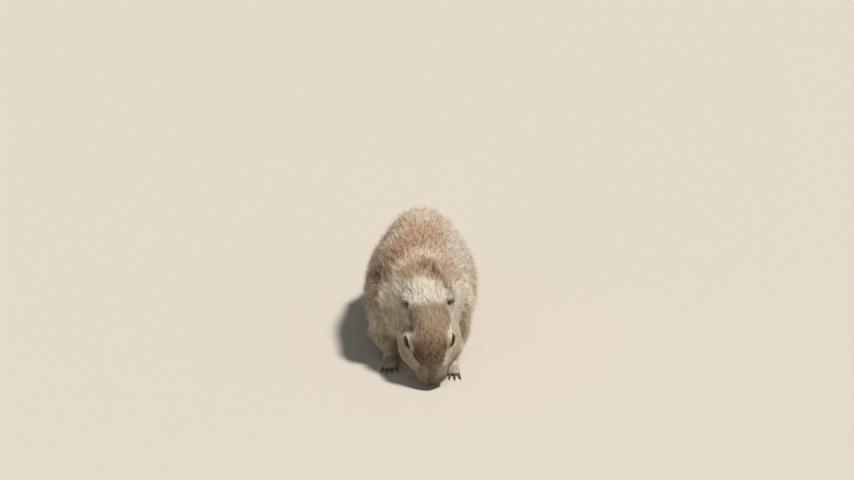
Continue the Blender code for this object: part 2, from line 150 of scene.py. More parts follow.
def linear(hex_colour):
    """An sRGB hex colour as linear red, green, blue and alpha."""
    value = hex_colour.lstrip("#")
    channels = [int(value[i : i + 2], 16) / 255.0 for i in (0, 2, 4)]
    return tuple(c / 12.92 if c <= 0.04045 else ((c + 0.055) / 1.055) ** 2.4 for c in channels) + (1.0,)


def add_node(tree, kind, settings=None, **inputs):
    """A new shader node with its properties set. An input is a value or another node's output."""
    made = tree.nodes.new(kind)
    for name, value in (settings or {}).items():
        setattr(made, name, value)
    for name, value in inputs.items():
        key = name.replace("_", " ")
        socket = made.inputs[int(key[1:])] if key[0] == "n" and key[1:].isdigit() else made.inputs[key]
        if isinstance(value, bpy.types.NodeSocket):
            tree.links.new(value, socket)
        else:
            socket.default_value = value
    return made


def new_material(name):
    """An empty node material and its tree."""
    material = bpy.data.materials.new(name)
    material.use_nodes = True
    material.node_tree.nodes.clear()
    return material, material.node_tree


def finished(material, base, **inputs):
    """The material, with a plain shader of that base colour as its surface."""
    tree = material.node_tree
    shader = add_node(tree, "ShaderNodeBsdfPrincipled", Base_Color=base, **inputs)
    add_node(tree, "ShaderNodeOutputMaterial", Surface=shader.outputs["BSDF"])
    return material


def ramp(tree, factor, stops):
    """A colour ramp of (place, hex or grey) stops."""
    made = add_node(tree, "ShaderNodeValToRGB", Fac=factor)
    elements = made.color_ramp.elements
    while len(elements) < len(stops):
        elements.new(0.5)
    for element, (place, colour) in zip(elements, stops):
        element.position = place
        element.color = linear(colour) if isinstance(colour, str) else (colour, colour, colour, 1.0)
    return made.outputs["Color"]


def object_place(tree):
    """The places on the object, for a texture."""
    return add_node(tree, "ShaderNodeTexCoord").outputs["Object"]


def noise(tree, place, scale, detail):
    """A noise texture's grey value."""
    return add_node(tree, "ShaderNodeTexNoise", Vector=place, Scale=scale, Detail=detail).outputs["Fac"]


def stored(tree, name, output):
    """An attribute that was stored on the mesh."""
    return add_node(tree, "ShaderNodeAttribute", {"attribute_name": name}).outputs[output]


def mixed(tree, factor, first, second, blend="MIX"):
    """Two colours mixed by a factor."""
    settings = {"data_type": "RGBA", "blend_type": blend}
    return add_node(tree, "ShaderNodeMix", settings, n0=factor, n6=first, n7=second).outputs[2]


def relief(tree, height, strength, far):
    """A bump by a texture's height."""
    return add_node(tree, "ShaderNodeBump", Height=height, Strength=strength, Distance=far).outputs["Normal"]


# For each kind of CAD node of flesh: the coat's depth and a hair's length and width in millimetres, how
# close the hairs stand, how much of the faceting is smoothed away, and the way that the coat lies. The rows
# are blended over the skin, so that no edge of a node shows.
DEPTH, LENGTH, WIDTH, COUNT, ROUNDING, LIE = range(6)
BACKWARD = np.array((0.0, 1.0, 0.0))
UP_THE_HEAD = head_direction(0.0, 1.0, 0.0)
COAT = {
    "muzzle": (0.5, 2.0, 0.20, 9.5, 0.50, UP_THE_HEAD),
    "head": (1.8, 4.2, 0.26, 8.5, 0.60, UP_THE_HEAD),
    "jaw": (2.0, 5.2, 0.30, 6.0, 0.60, UP_THE_HEAD),
    "neck": (5.2, 12.0, 0.38, 5.4, 1.00, np.array((0.0, 0.85, 0.50))),
    "chest": (6.0, 13.0, 0.40, 4.0, 1.00, BACKWARD),
    "belly": (6.0, 13.5, 0.42, 3.6, 1.00, BACKWARD),
    "rump": (5.8, 13.5, 0.42, 3.6, 1.00, np.array((0.0, 1.0, -0.25))),
    "tail_base": (3.8, 11.0, 0.42, 3.6, 0.80, np.array((0.0, 1.0, -0.2))),
    "tail_end": (3.6, 13.0, 0.42, 4.2, 0.60, np.array((0.0, 1.0, -0.1))),
    "ear": (0.25, 3.0, 0.20, 9.0, 0.06, np.array((0.0, 0.6, 0.8))),
    "shoulder": (5.0, 12.0, 0.40, 3.8, 1.00, np.array((0.0, 0.70, -0.70))),
    "forearm": (2.0, 6.0, 0.32, 5.0, 0.60, np.array((0.0, -0.75, -0.65))),
    "forepaw": (0.35, 2.0, 0.22, 8.5, 0.10, np.array((0.0, -1.0, -0.25))),
    "haunch": (5.4, 12.0, 0.42, 3.6, 1.00, np.array((0.0, 0.75, -0.65))),
    "hind_foot": (0.45, 2.6, 0.24, 7.5, 0.15, np.array((0.0, -1.0, 0.0))),
}
FLESH = sorted(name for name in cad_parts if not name.startswith(("eye_", "claw_")))
EYES = {"eye_left": 1.0, "eye_right": -1.0}


def coat_row(node):
    """The coat's row for a CAD node, which drops its left or right."""
    return COAT[node.replace("_left", "").replace("_right", "")]


def welded(node, grow):
    """A CAD node's mesh as a welded bmesh, grown outwards."""
    part = bmesh.new()
    part.from_mesh(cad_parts[node].data)
    bmesh.ops.remove_doubles(part, verts=part.verts, dist=1e-6)
    part.normal_update()
    for vert in part.verts:
        vert.co += vert.normal * grow
    return part


def grown_together(nodes, grow):
    """The named nodes in one mesh, each grown over the thin cuts between them."""
    gathered = bmesh.new()
    for node in nodes:
        loose = mesh_of("part", welded(node, grow))
        gathered.from_mesh(loose)
        bpy.data.meshes.remove(loose)
    return mesh_of("flesh", gathered)


def as_mesh(holder):
    """An object's evaluated mesh; the object is removed."""
    graph = bpy.context.evaluated_depsgraph_get()
    made = bpy.data.meshes.new_from_object(holder.evaluated_get(graph))
    bpy.data.objects.remove(holder)
    return made


def rebuilt(mesh, voxel):
    """The mesh as one closed skin of even quads."""
    holder = in_scene("holder", mesh)
    remesh = holder.modifiers.new("remesh", "REMESH")
    remesh.mode = "VOXEL"
    remesh.voxel_size = voxel
    return as_mesh(holder)


def read(collection, field, width, kind=np.float32):
    """One field of a mesh's elements as an array."""
    values = np.empty(len(collection) * width, kind)
    collection.foreach_get(field, values)
    return values.reshape(-1, width) if width > 1 else values


# Each round of smoothing draws a vertex to its neighbours' mean, then pushes it back by nearly as much.
DRAW_IN, PUSH_OUT = 0.55, 0.52


class Surface:
    """The skin as arrays, which averages over neighbours make smooth."""

    def __init__(self, mesh):
        self.mesh = mesh
        self.places = read(mesh.vertices, "co", 3).astype(float)
        edges = read(mesh.edges, "vertices", 2, np.int32)
        self.near = np.concatenate((edges[:, 0], edges[:, 1]))
        self.far = np.concatenate((edges[:, 1], edges[:, 0]))
        self.count = np.maximum(np.bincount(self.near, minlength=len(self.places)), 1)

    def average(self, field):
        """Each vertex's neighbours' mean."""
        if field.ndim == 1:
            return np.bincount(self.near, field[self.far], len(field)) / self.count
        columns = [np.bincount(self.near, column[self.far], len(field)) for column in field.T]
        return np.stack(columns, axis=1) / self.count[:, None]

    def blended(self, field, rounds):
        """A field after that many rounds of averaging."""
        for _ in range(rounds):
            field = 0.5 * field + 0.5 * self.average(field)
        return field

    def relax(self, weight, rounds):
        """Smooths the shape, by a weight for each vertex, with little loss of volume."""
        for _ in range(rounds):
            self.places += weight[:, None] * DRAW_IN * (self.average(self.places) - self.places)
            self.places -= weight[:, None] * PUSH_OUT * (self.average(self.places) - self.places)

    def normals(self):
        """The outward normals of the shape as it now is."""
        self.mesh.vertices.foreach_set("co", self.places.astype(np.float32).ravel())
        self.mesh.update()
        return read(self.mesh.vertex_normals, "vector", 3).astype(float)

    def tree(self):
        """A ray-casting tree of the shape as it now is."""
        self.mesh.calc_loop_triangles()
        triangles = read(self.mesh.loop_triangles, "vertices", 3, np.int32)
        return BVHTree.FromPolygons(self.places.tolist(), triangles.tolist(), all_triangles=True)


def nearest_nodes(places, nodes):
    """For each place, the index of the CAD node whose surface is nearest."""
    corners, triangles, owner = [], [], []
    for index, node in enumerate(nodes):
        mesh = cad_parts[node].data
        mesh.calc_loop_triangles()
        start = len(corners)
        corners += [tuple(vert.co) for vert in mesh.vertices]
        triangles += [[start + corner for corner in triangle.vertices] for triangle in mesh.loop_triangles]
        owner += [index] * len(mesh.loop_triangles)
    tree = BVHTree.FromPolygons(corners, triangles, all_triangles=True)
    return np.array([owner[tree.find_nearest(place)[2]] for place in places.tolist()])


SKIN_VOXEL = 0.00125
# The nodes are grown by this much, over the thin cuts between them.
OVER_CUTS = 0.00024
skin_mesh = rebuilt(grown_together(FLESH + list(EYES), OVER_CUTS), SKIN_VOXEL)
skin_mesh.name = "skin"
eye_places = {node: np.array(box_middle(node)) for node in EYES}


def from_eyes(places):
    """How far each place is from the nearer eye's middle."""
    return np.min([norms(places - eye_places[node]) for node in EYES], axis=0)


def refine(mesh, muzzle_end, lids_end):
    """Splits the faces of the muzzle and round the eyes, to hold their small shapes."""
    shape = bmesh.new()
    shape.from_mesh(mesh)
    places = np.array([tuple(vert.co) for vert in shape.verts])
    chosen = (to_head(places)[:, 1] < muzzle_end) | (from_eyes(places) < lids_end)
    faces = [face for face in shape.faces if all(chosen[vert.index] for vert in face.verts)]
    edges = list({edge for face in faces for edge in face.edges})
    bmesh.ops.subdivide_edges(shape, edges=edges, cuts=1, use_grid_fill=True)
    bmesh.ops.triangulate(shape, faces=[face for face in shape.faces if len(face.verts) > 4])
    shape.to_mesh(mesh)
    shape.free()


refine(skin_mesh, muzzle_end=0.019, lids_end=0.0115)
refine(skin_mesh, muzzle_end=0.017, lids_end=0.0090)
surface = Surface(skin_mesh)
part_of = nearest_nodes(surface.places, FLESH)
rows = [coat_row(node) for node in FLESH]
table = np.array([row[:LIE] for row in rows])[part_of]
lie_table = np.array([row[LIE] for row in rows])[part_of]

# The face's coat grows evenly from the nose to the nape: the place along the head, then the first four
# columns above. The cheeks are fuller towards the neck.
FACE = np.array((
    (0.0, 0.40, 1.2, 0.17, 10.0),
    (9.0, 0.60, 2.0, 0.19, 9.5),
    (20.0, 1.20, 3.2, 0.23, 8.0),
    (34.0, 1.70, 3.9, 0.26, 7.5),
    (50.0, 2.00, 4.4, 0.27, 7.0),
    (66.0, 2.60, 7.0, 0.32, 6.0),
))
CHEEK_ACROSS, CHEEK_ALONG = (0.014, 0.021), (0.024, 0.050)
CHEEK_FULLER = (0.9, 5.0, 0.08)
face = np.isin(part_of, [FLESH.index(node) for node in ("muzzle", "head", "jaw")])
face_places = to_head(surface.places[face])
for column in (DEPTH, LENGTH, WIDTH, COUNT):
    table[face, column] = np.interp(face_places[:, 1] * TO_MM, FACE[:, 0], FACE[:, column + 1])
cheek = rise(np.abs(face_places[:, 0]), *CHEEK_ACROSS) * rise(face_places[:, 1], *CHEEK_ALONG)
table[face, :COUNT] += cheek[:, None] * CHEEK_FULLER

# Facets and voxel steps are smoothed out, least on the ears and toes.
rounding = surface.blended(table[:, ROUNDING], rounds=12)
surface.relax(rounding, rounds=14)
eye_away = from_eyes(surface.places)

# The skin goes in by the coat's depth, or by at most a share of the body's thickness. Over the eyeballs and
# at the floor it stays clear up to the first distance and goes in fully past the second.
EYE_CLEAR, FLOOR_CLEAR = (0.0068, 0.0105), (0.0004, 0.0030)
THICKNESS_SHARE = 0.30
RAY_START, RAY_REACH = 2e-4, 0.05


def sink_under_coat():
    """Moves the skin in, to leave room for the coat."""
    depth = surface.blended(table[:, DEPTH] * MM, rounds=24)
    depth *= rise(eye_away, *EYE_CLEAR) * rise(surface.places[:, 2], *FLOOR_CLEAR)
    inward = -surface.normals()
    tree = surface.tree()
    for index, (place, direction) in enumerate(zip(surface.places, inward)):
        hit = tree.ray_cast(Vector(place + direction * RAY_START), Vector(direction), RAY_REACH)
        if hit[0] is not None:
            depth[index] = min(depth[index], THICKNESS_SHARE * hit[3])
    surface.places += inward * surface.blended(depth, rounds=10)[:, None]


sink_under_coat()
surface.relax(rounding, rounds=4)

# An eye looks out of the socket, a little up and forward. The opening reaches so far to the front, the back
# and each way up and down. The lids lie a little over the eyeball, the skin behind the opening a little
# under it, and the lids have risen to the face at LID_BLEND times the opening's size.
EYE_TILT = math.radians(17.0)
EYE_FORWARD = math.radians(12.0)
LID_FRONT, LID_BACK, LID_HIGH = math.radians(60.0), math.radians(54.0), math.radians(38.0)
LID_OVER, SKIN_UNDER = 0.00035, 0.0014
LID_BLEND, LID_BARE = 1.5, 1.16
EYE_REACH = 0.015
FAR_AWAY = 99.0


def eye_axes(side):
    """Out, forward and up of the eye on one side, +1 for the left, in the scene's directions."""
    out = np.array((side * math.cos(EYE_TILT), -math.sin(EYE_FORWARD), math.sin(EYE_TILT)))
    out /= np.linalg.norm(out)
    forward = np.array((0.0, -1.0, 0.0)) + out * out[1]
    forward /= np.linalg.norm(forward)
    up = np.cross(out, forward)
    up *= np.sign(up[2])
    return [head_direction(*axis) for axis in (out, forward, up)]


def eye_view(node, places):
    """Each place's direction and distance from the eye's middle, and its distance from the middle of the
    opening between the lids, an oval where it is 1."""
    out, forward, up = eye_axes(EYES[node])
    ray = places - eye_places[node]
    far = norms(ray)
    ray = ray / far[:, None]
    outward = ray @ out
    long_angle = np.arctan2(ray @ forward, outward)
    high_angle = np.arctan2(ray @ up, outward)
    long_share = np.where(long_angle > 0, long_angle / LID_FRONT, -long_angle / LID_BACK)
    share = (long_share**2.0 + (np.abs(high_angle) / LID_HIGH) ** 2.0) ** 0.5
    return ray, far, np.where((outward > 0.05) & (far < EYE_REACH), share, FAR_AWAY)


def lay_lids():
    """Lays the lids on the eyeballs, from which they rise to the brow and the cheek."""
    lid = EYE_RADIUS + LID_OVER
    for node in EYES:
        ray, far, share = eye_view(node, surface.places)
        lifted = lid + (np.maximum(far, lid) - lid) * rise(share, 1.0, LID_BLEND)
        wanted = np.where(share < 1.0, EYE_RADIUS - SKIN_UNDER, lifted)
        surface.places = eye_places[node] + ray * wanted[:, None]


# The mouth: a slit round the muzzle's underside, lowest behind the front teeth, with the chin set back
# below it. The groove is full within the first distance and gone at the second.
MOUTH_FRONT, MOUTH_RUN, MOUTH_BACK = 0.003, 0.0135, 0.0175
MOUTH_BELOW, MOUTH_SAG, MOUTH_WAVE = 0.0062, 0.0016, 0.85
MUZZLE_ENDS = (0.016, 0.026)
CHIN_BACK, CHIN_EDGE, CHIN_ALONG = 0.0022, 0.0018, (0.006, 0.016)
GROOVE_WIDE, GROOVE_DEEP = (0.0003, 0.0012), 0.0010
SLIT_BARE = 0.0007


def mouth_height(along):
    """How high the slit of the mouth is, above the head's axis, at a place along the head."""
    share = np.clip((along - MOUTH_FRONT) / MOUTH_RUN, 0.0, 1.0)
    return -MOUTH_BELOW - MOUTH_SAG * np.sin(share * math.pi * MOUTH_WAVE)


def from_mouth(head):
    """How far each place in the head's frame is from the slit, which ends at the mouth's corner."""
    past = np.maximum(head[:, 1] - MOUTH_BACK, 0.0)
    return np.hypot(head[:, 2] - mouth_height(head[:, 1]), past)


def cut_mouth():
    """Sets the chin back and cuts the slit. Gives how far in the slit and on the muzzle each place is."""
    head = to_head(surface.places)
    on_muzzle = fall(head[:, 1], *MUZZLE_ENDS)
    below_slit = rise(mouth_height(head[:, 1]) - head[:, 2], 0.0, CHIN_EDGE)
    chin_back = CHIN_BACK * below_slit * fall(head[:, 1], *CHIN_ALONG)
    groove = fall(from_mouth(head), *GROOVE_WIDE) * on_muzzle
    surface.places += chin_back[:, None] * UP_THE_HEAD
    surface.places -= surface.normals() * (GROOVE_DEEP * groove)[:, None]
    return groove, on_muzzle


# The dish of each ear opens forwards and outwards and is nearly bare inside.
DISH_OPENING = (0.50, -0.68, 0.54)
DISH_IN, DISH_BELOW = 0.0016, 0.0004
DISH_WIDE, DISH_FACING, DISH_DEEP = (0.0028, 0.0050), (0.25, 0.7), 0.0011


def press_ears(normals):
    """Presses in the dish of each ear. Gives how far inside a dish each place is."""
    inside = np.zeros(len(surface.places))
    across, along, above = DISH_OPENING
    for side in (1.0, -1.0):
        opening = head_direction(side * across, along, above)
        ear = np.array(in_head(side * (EAR_ACROSS - DISH_IN), EAR_ALONG, EAR_ABOVE - DISH_BELOW))
        near = fall(norms(surface.places - ear), *DISH_WIDE)
        dish = near * rise(normals @ opening, *DISH_FACING)
        surface.places -= (DISH_DEEP * dish)[:, None] * opening
        inside = np.maximum(inside, dish)
    return inside


NOSE_PLACE = np.array((0.0, 0.0017, 0.0004))
NOSE_SIZE = np.array((0.0034, 0.0022, 0.0027))
NOSE_BARE = 1.15


def from_nose(head):
    """The square of how far each place is from the nose pad's middle, 1 at its surface."""
    return (((head - NOSE_PLACE) / NOSE_SIZE) ** 2).sum(axis=1)


lay_lids()
groove, on_muzzle = cut_mouth()
skin_normals = surface.normals()
head_places = to_head(surface.places)

# No hair grows on the lids' edges, in the slit of the mouth, under the nose pad or on the soles.
bare = np.zeros(len(surface.places))
for node in EYES:
    bare[eye_view(node, surface.places)[2] < LID_BARE] = 1.0
bare[(from_mouth(head_places) < SLIT_BARE) & (on_muzzle > 0.5)] = 1.0
bare[from_nose(head_places) < NOSE_BARE] = 1.0

ear_inside = press_ears(skin_normals)
surface.places[:, 2] = np.maximum(surface.places[:, 2], 0.0)
skin_normals = surface.normals()

SOLE_FACING, SOLE_HIGH, SOLE_BACK = (0.75, 0.95), 0.0016, 0.06
sole = rise(-skin_normals[:, 2], *SOLE_FACING)
sole = sole * (surface.places[:, 2] < SOLE_HIGH) * (surface.places[:, 1] < SOLE_BACK)
bare = np.maximum(bare, sole)

# The coat hangs down at the body's sides, and is shorter round the eyes, in the ears and by the mouth. On
# the nape the hairs are finer, closer and less gathered.
SIDES_HANG, SIDES_FROM = 0.42, (-0.115, -0.06)
EAR_SPARSE, EAR_SHORT = 0.85, 0.5
LIDS_SHORT, LIDS_REACH = 0.30, (0.0064, 0.0125)
LIPS_SHORT, LIPS_REACH = 0.55, (0.0010, 0.0028)
NAPE_HIGH, NAPE_BACK = (0.055, 0.070), (-0.094, -0.084)
NAPE_LOOSE, NAPE_FINE, NAPE_CLOSE = 0.5, 0.28, 0.45
FULL_LOCK, LEAST_LOCK = 12.0, 0.12
lie = surface.blended(lie_table, rounds=60)
lie[:, 2] -= SIDES_HANG * np.abs(skin_normals[:, 0]) * rise(surface.places[:, 1], *SIDES_FROM)
coat_depth = surface.blended(table[:, DEPTH] * MM, rounds=24)
hair_length = surface.blended(table[:, LENGTH] * MM, rounds=24)
hair_width = surface.blended(table[:, WIDTH] * MM, rounds=16)
hair_count = surface.blended(table[:, COUNT], rounds=10) * (1.0 - EAR_SPARSE * ear_inside)
short = LIDS_SHORT + (1.0 - LIDS_SHORT) * rise(eye_away, *LIDS_REACH)
short *= 1.0 - EAR_SHORT * ear_inside
short *= 1.0 - LIPS_SHORT * on_muzzle * fall(from_mouth(head_places), *LIPS_REACH)
hair_length *= short
coat_depth *= short
lock_pull = surface.blended(np.clip(table[:, LENGTH] / FULL_LOCK, LEAST_LOCK, 1.0), rounds=16)
on_nape = rise(surface.places[:, 2], *NAPE_HIGH) * fall(surface.places[:, 1], *NAPE_BACK)
lock_pull *= 1.0 - NAPE_LOOSE * on_nape
hair_width *= 1.0 - NAPE_FINE * on_nape
hair_count *= 1.0 + NAPE_CLOSE * on_nape

# The fur is fuller in the hollows between head, limbs and body, where the skin lies under its own average.
HOLLOW_LEAST, HOLLOW_MOST = 0.0002, 0.0065
LONG_COAT = (0.0016, 0.0032)
HOLLOW_DEEPER, HOLLOW_LONGER = 1.35, 1.9
hollow = dot_rows(surface.blended(surface.places, rounds=90) - surface.places, skin_normals)
fuller = np.clip(hollow - HOLLOW_LEAST, 0.0, HOLLOW_MOST) * rise(coat_depth, *LONG_COAT)
fuller = surface.blended(fuller, rounds=6)
coat_depth += HOLLOW_DEEPER * fuller
hair_length += HOLLOW_LONGER * fuller

# Soft-edged patches on the body, each at a place in millimetres with its reach along x, y and z, and how
# strongly it covers what lies under it. The first ones are the same on both sides of the spine. A few of
# the others add painted light and painted shade, as noted at each.
SPINE_X = 0.0035
GROUND_COLOUR = "#BFA68B"
BOTH_SIDES = (
    ("#D8CCB6", (0, 0, 10), (42, 120, 22), 0.90),
    ("#CDBBA0", (34, 0, 36), (18, 90, 26), 0.70),
)
MARKINGS_AND_PAINTED_LIGHT = (
    ("#C2AC92", (2, 34, 92), (36, 52, 32), 0.70),
    ("#C6B8AC", (4, -16, 106), (26, 24, 18), 0.85),
    ("#DCD1C3", (33, -32, 80), (17, 46, 36), 0.95),
    ("#E6DBC7", (41, -76, 48), (15, 34, 32), 0.95),
    ("#B08E74", (0, -52, 100), (24, 16, 16), 0.92),
    ("#AC886E", (-20, -64, 87), (14, 12, 15), 0.90),
    # Rufous fur low on the left flank, darkened further as painted shade.
    ("#684634", (-35, -68, 68), (9, 18, 18), 0.85),
    ("#D9C1B0", (-16, -77, 84), (15, 6, 11), 0.95),
    ("#DDC8B6", (5, -71, 93), (18, 5.5, 8), 0.95),
    # Cream fur of the neck's left side, lightened further as painted light.
    ("#E8DDC6", (-25, -92, 62), (13, 14, 24), 0.95),
    # Cream fur of the neck's right side, lightened nearly to white as painted light in the crease behind the
    # cheek.
    ("#F8F0DF", (31, -94, 55), (13, 22, 27), 1.00),
    ("#E6E0D3", (3, -102, 73), (34, 12, 15.5), 1.00),
    # Cream fur of the nape's left side, lightened further as painted light.
    ("#F4EDDE", (-17, -94, 70), (13, 8.5, 12.5), 0.95),
    ("#A68765", (-9, -86, 83), (9.5, 5.5, 7), 0.85),
    ("#7E5E3D", (4, -82, 87.5), (10, 5.5, 6.5), 0.95),
    ("#6C4C2E", (12.5, -86, 83.5), (8, 5, 6.5), 1.00),
    ("#755736", (19, -90.8, 76.5), (5.8, 4.6, 6.5), 0.95),
    ("#56391F", (9, -83.5, 86.5), (10, 3, 3.6), 0.80),
    ("#5E4328", (16.5, -89, 79.5), (4.5, 3.2, 5), 0.75),
    ("#9C825D", (24, -92.8, 70.5), (4.5, 4.2, 6), 0.65),
    # A pale streak over the upper left back: painted highlight of sunlit fur.
    ("#DED2C4", (-29.5, -42, 83), (8, 10, 9), 0.62),
    ("#DDD2C6", (-24.5, -42, 90), (9, 10, 9), 0.58),
    ("#D8CDC1", (-17, -41.5, 97), (10, 9, 8), 0.50),
)
# The crown's colour and half width, by the place along the head in millimetres. The dark stops of the
# muzzle and the bridge are partly the face's own brown and partly painted shade.
CROWN = ((0, "#4E4237"), (6, "#6B5B4B"), (11, "#755C45"), (15.5, "#5E3C25"), (24, "#6E4B31"),
         (30, "#87684B"), (38, "#A1886B"), (50, "#AB977A"), (60, "#9B886D"))
CROWN_WIDE = ((0, 2), (9, 5), (14, 8), (21, 12), (27, 14), (36, 15.3), (46, 16), (70, 16))
CROWN_COVER = 0.97
# The other markings: each one's colour, and how strongly it covers what lies under it.
TAIL_TIP = ("#2E2219", 0.95)
FACE_CREAM = ("#DACCB1", 0.95)
JOWL = ("#C9B283", 0.75)
CROWN_BAND = ("#E2D7C0", 0.8)
# A thin dark line inside the crown's edge behind the eyes: painted shade where the head turns away.
CROWN_RIM_SHADE = ("#75604A", 0.55)
MUZZLE_SIDES = ("#998A74", 0.85)
MUZZLE_STRIPE = ("#61554A", 0.75)
# Painted shade: the muzzle darkens towards its tip.
MUZZLE_TIP_SHADE = ("#6A5D4F", 0.6)
CHIN = ("#CFC4B0", 0.8)
LIPS = ("#5A4A3E", 0.75)
PAWS = ("#8A8075", 0.8)
EYE_RING = ("#E2D6BC", 0.85)
EAR_RIM = ("#D5C9B2", 0.85)
# A patch is whole up to the first share of its reach and gone at the second.
PATCH_EDGE = (0.50, 1.20)
# The markings' edges wander by this much in waves of this length, and the crown's edge again on its own.
EDGE_WANDER, EDGE_WAVE, HEAD_WANDER = 0.0022, 0.020, 0.4
CROWN_WANDER, CROWN_WAVE = 0.7, 0.004
WAVE_COUNT, WAVE_HEIGHT = 7, 3.2


def patch(places, middle, reach):
    """How far each place is inside a soft ellipsoid: 1 at its middle, 0 outside."""
    away = np.sqrt((((places * TO_MM - middle) / reach) ** 2).sum(axis=1))
    return fall(away, *PATCH_EDGE)


def wandering(places, scale, seed):
    """A smooth field, mostly between -1 and 1, of a few waves of about that length."""
    waves = np.random.default_rng(seed)
    total = np.zeros(len(places))
    for _ in range(WAVE_COUNT):
        direction = unit(waves.normal(size=(1, 3)))[0]
        phase = places @ direction * 2.0 * math.pi / scale * waves.uniform(0.6, 1.6)
        total += np.sin(phase + waves.uniform(0, 6.3))
    return total / WAVE_HEIGHT


def over(colours, hex_colour, cover):
    """The colours with another laid over them."""
    return colours + (np.array(linear(hex_colour)[:3]) - colours) * cover[:, None]


def lay(colours, marking, share):
    """The colours with a marking laid over its share of each place."""
    colour, cover = marking
    return over(colours, colour, share * cover)


def body_colours(warped):
    """The ground colour with the body's patches and the dark end of the tail."""
    colours = np.tile(linear(GROUND_COLOUR)[:3], (len(warped), 1))
    folded = warped.copy()
    folded[:, 0] = np.abs(warped[:, 0] - SPINE_X)
    for places, patches in ((folded, BOTH_SIDES), (warped, MARKINGS_AND_PAINTED_LIGHT)):
        for colour, middle, reach, cover in patches:
            colours = over(colours, colour, patch(places, middle, reach) * cover)
    return lay(colours, TAIL_TIP, rise(warped[:, 1], 0.108, 0.122))


def face_colours(colours, head, ripple):
    """The colours with the face laid over them, and how far each place is on the head. What lies along the head
    or past the crown's rippled edge is in millimetres."""
    across, along, above = np.abs(head[:, 0]), head[:, 1] * TO_MM, head[:, 2]
    on_head = fall(along, 60.0, 67.0)
    top = rise(above, -0.004, 0.004)
    colours = lay(colours, FACE_CREAM, on_head)
    either_side = np.stack((across, head[:, 1], above), axis=1)
    colours = lay(colours, JOWL, on_head * patch(either_side, (24.0, 25.0, -5.0), (9.0, 13.0, 9.0)))

    past = across * TO_MM - np.interp(along, *np.array(CROWN_WIDE).T) + ripple
    beside = fall(np.abs(past - 2.4), 1.2, 2.6)
    colours = lay(colours, CROWN_BAND, on_head * top * beside)
    stops = np.array([linear(colour)[:3] for _, colour in CROWN])
    shade = np.stack([np.interp(along, [place for place, _ in CROWN], stop) for stop in stops.T], axis=1)
    softer = np.interp(along, (8.0, 16.0), (2.6, 1.0))
    crown = on_head * top * fall(past / softer, -0.7, 1.1)
    colours += (shade - colours) * (crown * CROWN_COVER)[:, None]
    # Painted shade: a thin dark line just inside the crown's edge.
    rim = crown * fall(np.abs(past + 0.6), 0.5, 1.5) * rise(along, 36.0, 44.0)
    colours = lay(colours, CROWN_RIM_SHADE, rim)

    muzzle = on_head * fall(along, 11.0, 17.0)
    colours = lay(colours, MUZZLE_SIDES, muzzle * rise(across, 0.0008, 0.0064))
    colours = lay(colours, MUZZLE_STRIPE, muzzle * top * fall(across, 0.0, 0.0060))
    # Painted shade at the muzzle's tip.
    colours = lay(colours, MUZZLE_TIP_SHADE, muzzle * fall(along, 1.5, 7.0))
    colours = lay(colours, CHIN, muzzle * fall(above, -0.0075, -0.0045))
    return lay(colours, LIPS, muzzle * fall(from_mouth(head), 0.0005, 0.0014)), on_head


def markings(places):
    """The colour of skin and coat at each place."""
    wander = np.stack([wandering(places, EDGE_WAVE, seed) for seed in (1, 2, 3)], axis=1)
    warped = places + EDGE_WANDER * wander
    head = to_head(places + HEAD_WANDER * (warped - places))
    ripple = CROWN_WANDER * wandering(places, CROWN_WAVE, 4)
    colours, on_head = face_colours(body_colours(warped), head, ripple)
    paws = fall(places[:, 1], -0.113, -0.106)
    paws = paws * fall(places[:, 2], 0.008, 0.014)
    colours = lay(colours, PAWS, paws * (1.0 - on_head))
    for node in EYES:
        away = norms(places - eye_places[node])
        colours = lay(colours, EYE_RING, fall(away, 0.0075, 0.0092))
    for side in (1.0, -1.0):
        ear = np.array(in_head(side * EAR_ACROSS, EAR_ALONG, EAR_ABOVE))
        away = norms(places - ear)
        colours = lay(colours, EAR_RIM, fall(away, 0.0062, 0.0085))
    return colours


def attribute(mesh, name, kind, domain, values):
    """Stores one attribute on a mesh."""
    field = {"FLOAT": "value", "FLOAT_VECTOR": "vector", "FLOAT_COLOR": "color"}[kind]
    layer = mesh.attributes.new(name, kind, domain)
    layer.data.foreach_set(field, np.ascontiguousarray(values, np.float32).ravel())


def with_alpha(colours):
    """Colours with an alpha of one."""
    return np.concatenate((colours, np.ones((len(colours), 1))), axis=1)


# The bare places are darker: the ears' dishes, the mouth's slit, the lids' edges, the nose and the soles.
# The dishes and the slit are darker still, as painted shade in their hollows.
skin_colours = markings(surface.places)
dark_places = [
    # The ears' dishes: bare skin, darkened as painted shade, most at their deepest.
    ("#8C7462", ear_inside * 0.9),
    ("#43342A", rise(ear_inside, 0.5, 1.0) * 0.9),
    # The mouth's slit: dark lip skin, darkened further as painted shade.
    ("#2C211C", groove),
    *[("#2A1F1A", fall(eye_view(node, surface.places)[2], 1.10, 1.35)) for node in EYES],
    ("#1A1210", fall(from_nose(head_places), 1.0, 1.3)),
    ("#6E5A4C", sole),
]
for colour, share in dark_places:
    skin_colours = over(skin_colours, colour, share)
attribute(skin_mesh, "markings", "FLOAT_COLOR", "POINT", with_alpha(skin_colours))
skin_mesh.shade_smooth()
skin = in_scene("skin", skin_mesh)

# The skin's unwrap, which the coat's maps share.
bpy.context.view_layer.objects.active = skin
skin.select_set(True)
skin_mesh.uv_layers.new(name="OFBake")
bpy.ops.object.mode_set(mode="EDIT")
bpy.ops.mesh.select_all(action="SELECT")
bpy.ops.uv.smart_project(angle_limit=math.radians(60.0), island_margin=0.003)
bpy.ops.object.mode_set(mode="OBJECT")

